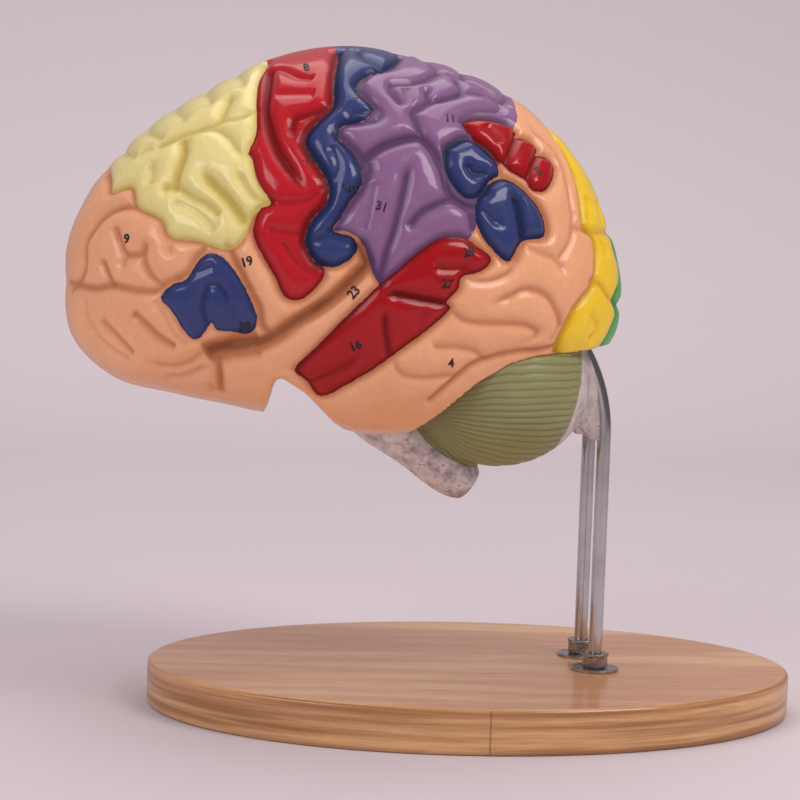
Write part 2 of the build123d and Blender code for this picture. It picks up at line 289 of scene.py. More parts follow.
# Foot of each rod: a thin broad washer on the board, a hexagon nut and a small washer on
# it, all steel with bright zinc, and the same below in the counterbore.
zinc_steel, zinc_sockets, place = new_finish("zinc_steel", Metallic=1.0)
spangle = place.cloud(220.0, 3.0)
turned = place.shifted(scale=(1.0, 1.0, 14.0)).cloud(160.0, 2.0)
zinc_colour = spangle.ramp(0.3, 0.75).blend(tint("C9C7C6"), tint("9C9996"))
place.feed(zinc_sockets["Base Color"], zinc_colour)
place.feed(zinc_sockets["Roughness"], turned.ramp(0.25, 0.75, 0.20, 0.40))
place.feed(zinc_sockets["Normal"], turned.relief(0.10, 0.0002))
for side in ("left", "right"):
    for kind in ("foot_washer", "lower_washer", "foot_nut", "lock_washer", "lower_nut"):
        fastener = nodes[side + "_" + kind]
        fastener.data.materials.clear()
        fastener.data.materials.append(zinc_steel)


# Locating pins: plain steel dowels hidden between cerebellum and hemisphere.
pin_steel, pin_sockets, place = new_finish("pin_steel", Metallic=1.0)
scratch = place.shifted(scale=(400.0, 400.0, 20.0)).cloud(2.0, 2.0)
place.feed(pin_sockets["Base Color"], scratch.blend(tint("B9B7B5"), tint("8F8D8B")))
place.feed(pin_sockets["Roughness"], scratch.ramp(0.2, 0.8, 0.25, 0.45))
for side in ("left", "right"):
    pins = nodes[side + "_locating_pins"]
    pins.data.materials.clear()
    pins.data.materials.append(pin_steel)


# Hemispheres: hollow-cast resin, one casting each, with rounded folds between narrow
# creases. Each starts as a ball drawn out to the outline, is cut under for its seat, and
# gets its creases. Sizes are in millimetres, seen from the left side.
hemisphere_width = 122.0
half_gap = 0.5
hemisphere_centre = np.array((-75.0, 262.0))
hemisphere_outline = [
    (-242, 244), (-238, 274), (-222, 304), (-196, 332), (-162, 355), (-130, 372),
    (-88, 381), (-48, 377), (-8, 365), (27, 344), (54, 314), (71, 277), (78, 244),
    (70, 215), (40, 193), (4, 178), (-34, 166), (-66, 163), (-90, 166), (-108, 172),
    (-130, 173), (-152, 177), (-182, 182), (-214, 190), (-237, 212),
]
fullness = 2.4
lower_fullness = 2.6
margin_inset = 6.0
margin_share = 0.05


def line_through(points, closed=False, pieces=6):
    """Points along a smooth curve that passes through the given ones."""
    given = np.array(points, float)
    if closed:
        given = np.vstack([given[-1:], given, given[:2]])
    else:
        given = np.vstack([2 * given[0] - given[1], given, 2 * given[-1] - given[-2]])
    a, b, c, d = given[:-3], given[1:-2], given[2:-1], given[3:]
    t = np.linspace(0, 1, pieces, endpoint=False)[:, None, None]
    curve = 0.5 * (2 * b + (c - a) * t + (2 * a - 5 * b + 4 * c - d) * t**2
                   + (3 * b - a - 3 * c + d) * t**3)
    curve = curve.transpose(1, 0, 2).reshape(-1, given.shape[1])
    return curve if closed else np.vstack([curve, c[-1:]])


rim = line_through(hemisphere_outline, True, 20) - hemisphere_centre
rim_angle = np.arctan2(rim[:, 1], rim[:, 0])
rim_order = np.argsort(rim_angle)
rim_angle = rim_angle[rim_order]
rim_radius = np.hypot(rim[:, 0], rim[:, 1])[rim_order]


def rim_at(arm):
    """Radius of the side outline in the direction of each arm."""
    angle = np.arctan2(arm[:, 1], arm[:, 0])
    return np.interp(angle, rim_angle, rim_radius, period=2 * math.pi)


def power_at(arm):
    """How square the cross-section is: more so towards the underside."""
    down = np.maximum(0, -arm[:, 1] / np.maximum(np.hypot(arm[:, 0], arm[:, 1]), 1e-9))
    return fullness + lower_fullness * down**2


def skin_value(points):
    """Below 0 inside the smooth hemisphere, 0 on its outer face, above 0 outside."""
    arm = points[:, [0, 2]] - hemisphere_centre
    share = np.clip((-points[:, 1] - half_gap) / hemisphere_width, 0, 2)
    drawn_in = margin_inset * np.clip(1 - share / margin_share, 0, 1) ** 2
    reach = (np.hypot(arm[:, 0], arm[:, 1]) + drawn_in) / rim_at(arm)
    return reach**2 + share ** power_at(arm) - 1


def skin_slope(points):
    """How fast skin_value grows along X, Y and Z."""
    small = 0.05
    slope = np.zeros_like(points)
    for axis in range(3):
        aside = np.zeros(3)
        aside[axis] = small
        slope[:, axis] = (skin_value(points + aside) - skin_value(points - aside)) / (2 * small)
    return slope


def lifted(path):
    """The points of the outer face that are seen at each X and Z of a path."""
    arm = np.array(path, float) - hemisphere_centre
    length = np.hypot(arm[:, 0], arm[:, 1])
    rim_here = rim_at(arm)
    reach = np.minimum(length / rim_here, 1.0)
    outward = -half_gap - (1 - reach**2) ** (1 / power_at(arm)) * hemisphere_width
    arm *= (np.minimum(length, rim_here - margin_inset * (reach >= 1)) / length)[:, None]
    return np.column_stack([arm[:, 0] + hemisphere_centre[0], outward,
                            arm[:, 1] + hemisphere_centre[1]])


def gap_to(points, line):
    """Distance of each point from a line, and how far along the line it is nearest."""
    nearest = np.full(len(points), 1e9)
    along = np.zeros(len(points))
    for index, (start, step) in enumerate(zip(line[:-1], np.diff(line, axis=0))):
        share = np.clip((points - start) @ step / max(step @ step, 1e-9), 0, 1)
        gap = ((points - start - share[:, None] * step) ** 2).sum(1)
        closer = gap < nearest
        nearest[closer] = gap[closer]
        along[closer] = index + share[closer]
    return np.sqrt(nearest), along / (len(line) - 1)


def depth_in(points, outline):
    """How far each point lies inside a closed outline, below 0 outside it."""
    near = 12.0
    low, high = outline.min(0) - near, outline.max(0) + near
    close = np.flatnonzero(((points > low) & (points < high)).all(1))
    depth = np.full(len(points), -near)
    here = points[close]
    ring = np.vstack([outline, outline[:1]])
    inside = np.zeros(len(here), bool)
    for (x0, z0), (x1, z1) in zip(ring[:-1], ring[1:]):
        if z0 != z1:
            crossed = (here[:, 1] > z0) != (here[:, 1] > z1)
            inside ^= crossed & (here[:, 0] < x0 + (here[:, 1] - z0) * (x1 - x0) / (z1 - z0))
    gap = np.minimum(gap_to(here, ring)[0], near)
    depth[close] = np.where(inside, gap, -gap)
    return depth


def positions(mesh):
    """A mesh's corner places as an array, in millimetres."""
    found = np.zeros(len(mesh.vertices) * 3)
    mesh.vertices.foreach_get("co", found)
    return found.reshape(-1, 3) / millimetre


def settle(made, modifiers):
    """Gives an object modifiers and applies them to its mesh."""
    for kind, values in modifiers:
        modifier = made.modifiers.new(kind.lower(), kind)
        for key, value in values.items():
            setattr(modifier, key, value)
    ready = made.evaluated_get(bpy.context.evaluated_depsgraph_get())
    mesh = bpy.data.meshes.new_from_object(ready)
    made.modifiers.clear()
    made.data = mesh
    return mesh


def prism(name, outline, near, far):
    """A solid with this X and Z outline from one Y to another."""
    block = bmesh.new()
    ring = [block.verts.new((x * millimetre, near * millimetre, z * millimetre))
            for x, z in outline]
    end = block.faces.new(ring)
    grown = bmesh.ops.extrude_face_region(block, geom=[end])["geom"]
    bmesh.ops.translate(block, vec=(0, (far - near) * millimetre, 0),
                        verts=[v for v in grown if isinstance(v, bmesh.types.BMVert)])
    bmesh.ops.recalc_face_normals(block, faces=block.faces)
    return new_piece(name, block)


ball = bmesh.new()
bmesh.ops.create_icosphere(ball, subdivisions=6, radius=1.0)
unit = np.array([corner.co for corner in ball.verts])
flat = np.hypot(unit[:, 0], unit[:, 2])
arm = unit[:, [0, 2]] / np.maximum(flat, 1e-9)[:, None]
share = np.where(unit[:, 1] < 0, np.abs(unit[:, 1]) ** (2 / power_at(arm)), 0.0)
drawn_in = margin_inset * np.clip(1 - share / margin_share, 0, 1) ** 2
arm *= (np.minimum(flat, 1.0) * rim_at(arm) - drawn_in * flat)[:, None]
body_places = np.column_stack([arm[:, 0] + hemisphere_centre[0],
                               -half_gap - share * hemisphere_width,
                               arm[:, 1] + hemisphere_centre[1]])
for corner, spot in zip(ball.verts, body_places):
    corner.co = Vector(spot) * millimetre
bmesh.ops.recalc_face_normals(ball, faces=ball.faces)
left_brain = new_piece("left_brain", ball)

# The seat as the solids have it, and the seat shown, which is higher in its middle.
flat_seat = [(-50, 166), (-16, 194), (6, 205), (92, 222)]
seat_line = [(-50, 166), (-34, 180.5), (-16, 197), (0, 206.5), (14, 210.5), (40, 213.5),
             (60, 216), (92, 222)]
cut_inside, cut_outside = 10, -140
under_seat = prism("under_seat", [(-92, 138), (-92, 60), (92, 60)] + seat_line[::-1],
                   cut_inside, cut_outside)
# The notch between temporal pole and frontal lobe, through the full thickness.
pole_notch = prism("pole_notch", [
    (-130, 150), (-127.5, 178), (-126, 192), (-124, 197), (-120, 194.5), (-108, 187), (-98, 177),
    (-92, 171), (-86, 167), (-86, 150)], cut_inside, cut_outside)
trough_size = (0.146, 0.080, 0.080)
trough_middle = (-0.049, 0, 0.170)
trough_corner = 0.014
trough = bmesh.new()
bmesh.ops.create_cube(trough, size=1.0)
bmesh.ops.scale(trough, vec=trough_size, verts=trough.verts)
bmesh.ops.translate(trough, vec=trough_middle, verts=trough.verts)
upper = [e for e in trough.edges
         if all(v.co.z > trough_middle[2] for v in e.verts)
         and e.verts[0].co.y == e.verts[1].co.y]
bmesh.ops.bevel(trough, geom=upper, offset=trough_corner, segments=6, profile=0.5,
                affect="EDGES", material=-1)
stem_trough = new_piece("stem_trough", trough)
column_size = (0.0223, 0.0273, 0.030)
column_middle = (-0.080, 0, 0.209)
column = bmesh.new()
bmesh.ops.create_cone(column, cap_ends=True, segments=48, radius1=1.0, radius2=1.0, depth=1.0)
bmesh.ops.scale(column, vec=column_size, verts=column.verts)
bmesh.ops.translate(column, vec=column_middle, verts=column.verts)
stem_column = new_piece("stem_column", column)
voxel = 1.35
cutters = (under_seat, pole_notch, stem_trough, stem_column)
brain_mesh = settle(left_brain, [
    ("BOOLEAN", {"object": cutter, "operation": "DIFFERENCE", "solver": "EXACT"})
    for cutter in cutters
] + [("REMESH", {"mode": "VOXEL", "voxel_size": voxel * millimetre})])
for cutter in cutters:
    bpy.data.objects.remove(cutter)

# Corners of the outer face settle on it exactly; cut faces and the median face stay.
skin_tolerance = 0.8
median_tolerance = 0.9
smooth_places = positions(brain_mesh)
slope = skin_slope(smooth_places)
skin_gap = skin_value(smooth_places) / np.maximum(np.linalg.norm(slope, axis=1), 1e-6)
on_skin = (np.abs(skin_gap) < skin_tolerance) & (smooth_places[:, 1] < -median_tolerance)
for turn in range(3):
    slope = skin_slope(smooth_places)
    step = -skin_value(smooth_places) / np.maximum((slope**2).sum(1), 1e-9)
    smooth_places[on_skin] += (step[:, None] * slope)[on_skin]
slope = skin_slope(smooth_places)
outward = slope / np.maximum(np.linalg.norm(slope, axis=1), 1e-6)[:, None]
on_median = smooth_places[:, 1] > -median_tolerance
side_view = smooth_places[:, [0, 2]]

# The borders of the painted areas and the creases that run along them.
premotor_border = [
    (-222, 309), (-218, 299), (-217, 293), (-206, 296), (-203, 286), (-199, 283), (-189, 278),
    (-184, 269), (-169, 267), (-154, 263), (-145, 270), (-141, 282), (-132, 289),
]
motor_front = [
    (-132, 289), (-139, 300), (-142, 312), (-144, 316), (-140, 327), (-140, 346), (-138, 358),
    (-132, 370),
]
motor_face = [
    (-132, 289), (-138, 285), (-141, 273), (-136, 261), (-129, 250), (-124, 240), (-116, 237),
    (-108, 243), (-103, 251), (-104, 256),
]
central = [
    (-94, 376), (-98, 360), (-99, 347), (-101, 341), (-110, 332), (-115, 322), (-109, 311),
    (-103, 301), (-103, 290), (-111, 280), (-114, 269), (-109, 259), (-104, 256),
]
sensory_rear = [
    (-56, 378), (-66, 367), (-79, 362), (-86, 355), (-83, 349), (-77, 342), (-84, 335),
    (-94, 332), (-97, 326), (-89, 317), (-84, 307), (-85, 299), (-91, 290), (-96, 281),
    (-99, 275),
]
sensory_foot = [(-99, 275), (-89, 272), (-86, 266), (-90, 260), (-97, 256), (-104, 256)]
temporal_top = [
    (-116, 200), (-104, 214), (-90, 230), (-75, 246), (-65, 255), (-54, 265), (-42, 273),
    (-30, 274), (-22, 270),
]
red_temporal = temporal_top + [
    (-13, 263), (-19, 256), (-29, 253), (-31, 246), (-37, 239), (-35, 235), (-46, 224),
    (-60, 213), (-75, 201), (-89, 192), (-101, 185), (-109, 193),
]
speech_patch = [
    (-188, 238), (-182, 244), (-175, 247), (-168, 258), (-161, 261), (-153, 256), (-145, 245),
    (-139, 233), (-137, 225), (-141, 218), (-150, 219), (-158, 220), (-161, 224), (-164, 219),
    (-169, 214), (-175, 218), (-182, 229), (-187, 234),
]
speech_upper = [
    (-39, 322), (-26, 328), (-13, 321), (-8, 310), (-14, 305), (-19, 297), (-29, 296),
    (-38, 308),
]
speech_lower = [
    (-15, 303), (-7, 307), (3, 304), (14, 294), (19, 284), (18, 276), (5, 273), (-3, 262),
    (-15, 271), (-22, 283), (-21, 295),
]
reading_pads = [
    (-28, 337), (-21, 340), (-11, 340), (-1, 338), (4, 334), (3, 331), (8, 331), (14, 329),
    (17, 325), (16, 322), (23, 321), (27, 316), (25, 308), (20, 302), (14, 301), (10, 303),
    (8, 307), (3, 309), (-3, 312), (-6, 315), (-12, 318), (-18, 323), (-24, 330),
]
occipital_front = [
    (24, 350), (30, 334), (35, 325), (39, 315), (42, 304), (43, 291), (44, 283), (50, 278),
    (52, 267), (50, 252), (41, 241), (36, 234), (29, 218), (28, 206),
]
occipital_band = [
    (57, 308), (62, 292), (65, 284), (67, 272), (72, 262), (71, 250), (66, 243), (69, 235),
    (66, 227), (61, 218), (54, 208),
]
paint_areas = {
    "pale_yellow": [premotor_border + motor_front[1:] + [(-128, 410), (-240, 400), (-260, 300)]],
    "purple": [sensory_rear[::-1] + [
        (-50, 400), (30, 385), (8, 356), (4, 339), (-6, 318), (-16, 302), (-22, 290), (-22, 280),
        (-30, 270), (-44, 268), (-58, 258), (-70, 246), (-77, 252), (-83, 268), (-92, 275)]],
    "red": [motor_front + [(-128, 400), (-94, 400)] + central + motor_face[-2:0:-1]],
    "crimson": [red_temporal, reading_pads],
    "blue": [central[::-1] + [(-94, 400), (-56, 400)] + sensory_rear + sensory_foot[1:-1],
             speech_patch, speech_upper, speech_lower],
    "bright_yellow": [occipital_front + [(60, 190), (100, 210), (110, 300), (60, 360)]],
    "green": [occipital_band + [(70, 190), (110, 210), (110, 320)]],
}
creases = [
    # path, depth, reach each side, held at full depth at its start and at its end
    (premotor_border, 3.2, 6.0, 1, 1),
    (motor_front, 3.0, 6.0, 1, 1),
    (motor_face, 3.6, 6.5, 1, 1),
    (central, 5.0, 8.0, 1, 1),
    (sensory_rear, 4.0, 7.0, 1, 1),
    (sensory_foot, 4.0, 6.0, 1, 1),
    (red_temporal + red_temporal[:1], 3.4, 6.0, 1, 1),
    (speech_patch + speech_patch[:1], 2.6, 4.5, 1, 1),
    (speech_upper + speech_upper[:1], 4.4, 6.5, 1, 1),
    (speech_lower + speech_lower[:1], 4.0, 6.5, 1, 1),
    (reading_pads + reading_pads[:1], 3.6, 6.0, 1, 1),
    (occipital_front, 3.6, 6.0, 1, 1),
    (occipital_band, 2.6, 5.0, 1, 1),
    # between frontal and temporal lobes
    ([(-158, 209), (-145, 210), (-131, 215), (-119, 224), (-106, 233), (-95, 242), (-84, 254),
      (-81, 259), (-85, 267)], 7.0, 9.0, 1, 1),
    ([(-164, 206), (-150, 211), (-134, 214)], 6.5, 16.0, 0, 0),
    ([(-82, 262), (-77, 253), (-73, 248)], 4.5, 7.0, 1, 1),
    ([(-84, 259), (-88, 256), (-94, 251)], 2.4, 5.0, 1, 0),
    # pale yellow: broad soft lobes like a hand
    ([(-195, 317), (-187, 321), (-179, 325), (-169, 329), (-160, 332), (-156, 340), (-152, 349)],
     3.0, 8.5, 0, 0),
    ([(-158, 333), (-148, 335), (-139, 339)], 2.6, 7.0, 1, 1),
    ([(-179, 321), (-178, 314), (-181, 303), (-182, 296)], 4.0, 8.0, 1, 1),
    ([(-190, 294), (-182, 296), (-173, 291), (-165, 287), (-157, 280)], 3.0, 7.0, 0, 0),
    ([(-171, 309), (-164, 300), (-157, 293), (-150, 285), (-146, 279)], 4.0, 8.5, 0, 1),
    ([(-178, 320), (-172, 327), (-162, 328), (-154, 323), (-148, 314), (-142, 305)],
     2.6, 6.0, 1, 0),
    ([(-152, 309), (-146, 299), (-140, 291), (-132, 289)], 2.8, 6.5, 0, 1),
    ([(-195, 308), (-194, 303), (-196, 296)], 2.0, 5.0, 0, 0),
    ([(-205, 311), (-199, 316), (-195, 317)], 1.8, 6.0, 0, 1),
    ([(-183, 288), (-174, 285), (-166, 279), (-160, 272)], 1.8, 6.0, 0, 0),
    ([(-222, 322), (-209, 315), (-201, 312)], 2.4, 6.0, 1, 0),
    ([(-206, 336), (-195, 326), (-187, 322)], 2.4, 6.0, 1, 0),
    ([(-190, 350), (-181, 338), (-176, 331)], 2.0, 6.0, 1, 0),
    ([(-170, 362), (-165, 349), (-163, 340)], 2.4, 6.5, 1, 0),
    ([(-152, 372), (-148, 360), (-145, 350)], 2.0, 6.0, 1, 0),
    # red strip
    ([(-132, 362), (-134, 349), (-135, 340), (-133, 329), (-129, 317), (-124, 309), (-117, 299),
      (-111, 294)], 4.2, 7.0, 1, 0),
    ([(-100, 342), (-107, 339), (-115, 336), (-120, 334), (-121, 326), (-119, 318)],
     3.4, 6.0, 1, 0),
    ([(-132, 363), (-125, 363), (-117, 358), (-108, 357)], 2.0, 5.0, 0, 0),
    ([(-130, 348), (-120, 348), (-108, 348)], 1.2, 5.0, 0, 0),
    ([(-103, 300), (-110, 292), (-120, 289), (-132, 289)], 2.0, 5.0, 0, 0),
    ([(-115, 273), (-123, 273), (-134, 275)], 2.0, 4.5, 0, 0),
    ([(-126, 270), (-120, 261), (-113, 254), (-106, 251)], 1.8, 5.0, 0, 0),
    # blue strip
    ([(-84, 377), (-79, 372), (-71, 365)], 3.0, 6.0, 1, 1),
    ([(-94, 334), (-88, 338), (-80, 340)], 2.4, 4.5, 0, 1),
    ([(-101, 322), (-97, 311), (-99, 301), (-104, 292), (-108, 284)], 2.0, 5.0, 0, 0),
    ([(-112, 267), (-102, 272), (-88, 268)], 2.2, 5.0, 1, 1),
    ([(-163, 222), (-165, 229), (-166, 236), (-163, 244), (-156, 243), (-153, 235), (-149, 226)],
     2.6, 4.0, 1, 0),
    ([(-146, 220), (-148, 226), (-151, 235)], 1.4, 4.0, 0, 0),
    ([(-174, 249), (-166, 252), (-160, 255)], 1.2, 4.0, 0, 0),
    ([(-28, 317), (-24, 309), (-18, 309)], 3.4, 6.5, 0, 1),
    ([(-39, 319), (-35, 308), (-29, 297)], 1.6, 4.5, 0, 0),
    ([(-3, 300), (1, 293), (3, 284), (5, 273)], 4.0, 6.0, 0, 1),
    ([(-21, 290), (-15, 286), (-6, 279)], 2.6, 4.5, 1, 0),
    # purple
    ([(-84, 313), (-79, 317), (-73, 321), (-66, 324), (-59, 326), (-52, 326), (-46, 320),
      (-41, 310), (-37, 297), (-30, 292), (-24, 290)], 4.4, 7.5, 1, 1),
    ([(-56, 316), (-60, 307), (-62, 297), (-67, 276), (-71, 264), (-74, 250)], 3.6, 6.5, 0, 1),
    ([(-92, 287), (-86, 295), (-82, 303), (-80, 310), (-85, 316), (-92, 322), (-97, 327)],
     3.6, 6.5, 1, 1),
    ([(-58, 280), (-53, 286), (-46, 290), (-38, 293), (-31, 292), (-26, 287), (-24, 278)],
     3.6, 6.0, 1, 1),
    ([(-38, 366), (-47, 360), (-58, 357), (-66, 356), (-67, 351), (-63, 346)], 3.4, 5.0, 1, 1),
    ([(-28, 361), (-27, 354), (-36, 350), (-46, 348), (-47, 353)], 3.6, 5.0, 1, 1),
    ([(-46, 347), (-51, 344), (-56, 340), (-54, 333), (-51, 326)], 3.6, 6.0, 1, 1),
    ([(-30, 337), (-24, 342), (-15, 344), (-6, 345), (-5, 350), (-14, 354), (-25, 354),
      (-34, 351), (-42, 348)], 2.6, 4.5, 1, 1),
    ([(-66, 351), (-63, 345), (-59, 346), (-59, 353)], 2.0, 4.0, 1, 1),
    ([(-79, 362), (-83, 355), (-80, 348), (-74, 341), (-76, 335), (-88, 333)], 3.0, 6.0, 1, 1),
    ([(-78, 302), (-80, 289), (-83, 274)], 1.8, 5.0, 0, 0),
    ([(-38, 366), (-26, 363), (-12, 357), (0, 349)], 2.4, 5.0, 1, 1),
    ([(-44, 388), (-43, 376), (-38, 366)], 3.0, 6.0, 1, 1),
    ([(-16, 380), (-20, 370), (-24, 363)], 3.0, 6.0, 1, 1),
    ([(12, 366), (4, 356), (-2, 350)], 2.8, 5.5, 1, 1),
    # red temporal area and reading pads
    ([(-74, 243), (-62, 242), (-50, 240), (-37, 238)], 4.0, 5.5, 0, 1),
    ([(-70, 236), (-70, 227), (-68, 216), (-66, 207)], 3.2, 5.0, 0, 1),
    ([(-48, 258), (-38, 257), (-27, 258)], 2.4, 5.0, 0, 1),
    ([(-108, 193), (-98, 198), (-88, 204), (-78, 212)], 2.2, 5.0, 1, 0),
    ([(-52, 222), (-50, 229), (-48, 235)], 1.6, 4.0, 0, 0),
    ([(4, 333), (-1, 324), (-5, 314)], 3.2, 5.0, 1, 1),
    ([(17, 324), (12, 316), (8, 307)], 3.2, 5.0, 1, 1),
    ([(-15, 336), (-10, 330), (-8, 325)], 1.4, 4.5, 0, 0),
    # flesh, frontal
    ([(-203, 285), (-211, 284), (-219, 280), (-225, 273), (-230, 264), (-230, 252), (-233, 244),
      (-238, 238)], 3.0, 6.5, 1, 1),
    ([(-214, 275), (-211, 267), (-207, 259), (-198, 260), (-197, 267)], 3.2, 5.5, 0, 0),
    ([(-207, 259), (-208, 255), (-209, 250)], 2.4, 5.0, 1, 0),
    ([(-198, 260), (-196, 253), (-192, 247), (-187, 243)], 3.0, 5.5, 1, 1),
    ([(-221, 258), (-218, 250), (-214, 242)], 3.2, 5.5, 0, 1),
    ([(-246, 243), (-234, 241), (-223, 240), (-214, 242), (-202, 240), (-191, 240), (-186, 244),
      (-179, 247)], 3.2, 6.0, 1, 1),
    ([(-179, 247), (-174, 251), (-171, 257), (-166, 263)], 3.2, 6.0, 1, 1),
    ([(-187, 272), (-184, 264), (-185, 257)], 2.0, 5.0, 1, 0),
    ([(-203, 228), (-197, 223), (-188, 215), (-178, 209)], 3.2, 6.0, 0, 0),
    ([(-220, 223), (-211, 214), (-201, 204)], 2.8, 5.5, 0, 0),
    ([(-226, 223), (-222, 214), (-213, 206), (-202, 201)], 1.8, 5.0, 0, 0),
    ([(-196, 202), (-184, 199), (-173, 201), (-164, 208)], 2.2, 6.0, 0, 1),
    ([(-187, 194), (-176, 193), (-164, 199)], 2.0, 5.5, 0, 1),
    ([(-230, 236), (-228, 224), (-225, 217)], 1.6, 5.0, 0, 0),
    ([(-156, 203), (-155, 194), (-154, 185)], 3.4, 6.0, 1, 1),
    ([(-160, 191), (-158, 185)], 2.4, 4.0, 0, 1),
    ([(-192, 236), (-186, 228), (-180, 217), (-172, 211)], 1.8, 5.0, 0, 0),
    ([(-154, 265), (-149, 257), (-142, 244), (-136, 233), (-134, 224), (-130, 219)],
     3.8, 6.0, 1, 1),
    # temporal and parietal flesh
    ([(-27, 252), (-20, 251), (-12, 252), (-5, 255), (0, 260), (4, 268), (6, 273)],
     2.8, 5.0, 1, 1),
    ([(-18, 236), (-11, 240), (-3, 243), (5, 247), (13, 247), (21, 243), (27, 234), (29, 228)],
     3.0, 5.5, 0, 1),
    ([(-35, 236), (-31, 232), (-25, 229), (-13, 228), (4, 228), (12, 226), (15, 223), (10, 219),
      (2, 215)], 2.8, 5.0, 1, 0),
    ([(-46, 220), (-41, 215), (-30, 215), (-20, 213), (-13, 208)], 2.4, 4.5, 0, 1),
    ([(-64, 210), (-62, 203), (-57, 199), (-47, 198), (-36, 199), (-27, 199)], 2.4, 4.5, 1, 1),
    ([(-42, 185), (-34, 193), (-27, 200), (-20, 206), (-9, 210), (4, 213), (18, 214), (28, 216)],
     3.4, 4.5, 1, 1),
    ([(5, 272), (13, 268), (23, 265), (28, 260), (30, 254)], 2.4, 5.5, 1, 0),
    ([(16, 334), (23, 329), (30, 322), (33, 310), (35, 294), (36, 286), (34, 275), (27, 265)],
     2.4, 5.5, 1, 1),
    ([(35, 282), (42, 281), (48, 279)], 2.4, 4.5, 1, 1),
    ([(29, 230), (26, 222), (21, 216)], 2.0, 5.0, 1, 0),
    ([(16, 321), (23, 322), (31, 321)], 1.8, 4.5, 0, 1),
    # bright yellow and green
    ([(43, 281), (50, 280), (57, 280), (66, 281), (80, 284)], 2.6, 5.0, 1, 1),
    ([(48, 253), (55, 251), (62, 244), (70, 240), (84, 238)], 2.8, 5.5, 1, 1),
    ([(56, 299), (58, 290), (60, 284)], 1.6, 4.0, 0, 1),
    ([(47, 234), (53, 230), (53, 224), (48, 218)], 2.0, 4.5, 0, 0),
    ([(54, 279), (58, 272), (61, 266)], 1.8, 4.5, 1, 0),
    ([(47, 300), (48, 292), (47, 285)], 1.8, 5.0, 0, 0),
]
# Creases that meet add up softly, their bottoms are round, and the skin swells between them.
soften = 4
crease_share = 0.84
bottom_radius = 1.1
bottom_rise = 0.5
taper_rate = 4
bulge = 1.25
bulge_reach = 15.0
swell_height = 0.4
swell_size = 26.0
skin_lift = 0.2
margin_fade = 3.0
crease_sink = np.zeros(len(smooth_places))
nearest = np.full(len(smooth_places), bulge_reach)
for path, depth, reach, held_start, held_end in creases:
    line = lifted(line_through(path, pieces=4))
    low, high = line.min(0) - bulge_reach, line.max(0) + bulge_reach
    close = np.flatnonzero(((smooth_places > low) & (smooth_places < high)).all(1) & on_skin)
    gap, along = gap_to(smooth_places[close], line)
    taper = np.minimum(1, np.where(held_start, 1, along * taper_rate)
                       * np.where(held_end, 1, (1 - along) * taper_rate))
    closeness = np.clip(1 - (np.hypot(gap, bottom_radius) - bottom_rise) / reach, 0, 1)
    crease_sink[close] += (depth * taper * closeness**2) ** soften
    nearest[close] = np.minimum(nearest[close], gap + (1 - taper) * bulge_reach)
crease_sink = crease_sink ** (1 / soften)
swell = np.array([noise.noise(Vector(spot) / swell_size) for spot in smooth_places])
pillow = bulge * (1 - nearest / bulge_reach) ** 1.5
from_margin = np.clip((-smooth_places[:, 1] - median_tolerance) / margin_fade, 0, 1)
inward = crease_share * crease_sink + pillow + swell_height * swell - skin_lift
inward = np.where(on_skin, inward, 0.0) * from_margin
brain_places = smooth_places - outward * inward[:, None]

median_folds = [
    [(-150, 238), (-143, 262), (-122, 282), (-92, 290), (-60, 285), (-34, 272), (-20, 252)],
    [(-134, 236), (-128, 254), (-110, 270), (-90, 275), (-64, 270), (-44, 260), (-32, 246)],
    [(-178, 232), (-176, 262), (-158, 296), (-126, 314), (-96, 322), (-60, 318), (-30, 312),
     (-12, 324), (-4, 340)],
    [(30, 318), (18, 290), (10, 262), (2, 246)],
    [(62, 262), (44, 254), (24, 244), (2, 246)],
    [(-210, 250), (-196, 290), (-168, 322), (-130, 342), (-100, 348)],
    [(-60, 352), (-40, 338), (-30, 326)],
    [(-112, 352), (-104, 340), (-102, 328)],
]
median_depth = 3.2
median_reach = 6.0
sunk = np.zeros(len(smooth_places))
for path in median_folds:
    gap = gap_to(side_view[on_median], line_through(path, pieces=5))[0]
    sunk[on_median] += (median_depth * np.clip(1 - gap / median_reach, 0, 1) ** 2) ** soften
sunk = sunk ** (1 / soften)
brain_places[:, 1] -= sunk

brain_mesh.vertices.foreach_set("co", (brain_places * millimetre).ravel())
notch_low, notch_high = (-136, -140, 150), (-78, -34, 197)
notch_turns = 24
soft_edge = ((brain_places > notch_low) & (brain_places < notch_high)).all(1)
rounded = bmesh.new()
rounded.from_mesh(brain_mesh)
rounded.verts.ensure_lookup_table()
near_notch = [rounded.verts[i] for i in np.flatnonzero(soft_edge)]
for turn in range(notch_turns):
    bmesh.ops.smooth_vert(rounded, verts=near_notch, factor=0.5, use_axis_x=True, use_axis_y=True,
                          use_axis_z=True)
rounded.to_mesh(brain_mesh)
rounded.free()

# How deep each corner lies in each painted area. On the median face the paint is a band along
# the rim, and the walls of trough and notch are bare.
bare = -12.0
band_depth = 24
band_loss = 130
bare_walls_below = (40, 0, 228)
median_shade = 1.3
deepest_crease = 8.0
callosum = line_through(median_folds[0] + median_folds[1][::-1], True)
measures = {name: np.max([depth_in(side_view, line_through(outline, True))
                          for outline in outlines], axis=0)
            for name, outlines in paint_areas.items()}
arm = side_view - hemisphere_centre
band = band_depth - (1 - np.hypot(*arm.T) / rim_at(arm)) * band_loss
cut_face = ~(on_skin | on_median) & (smooth_places < bare_walls_below).all(1)
for name, depth in measures.items():
    measures[name] = np.where(on_median, np.minimum(depth, band), depth)
    measures[name][cut_face] = bare
measures["crimson"][on_median] = bare
measures["callosum"] = np.where(on_median, depth_in(side_view, callosum), bare)
# The crease measure carries a painted wash and painted shade into the colour.
measures["crease"] = np.clip((crease_sink + sunk * median_shade) / deepest_crease, 0, 1)
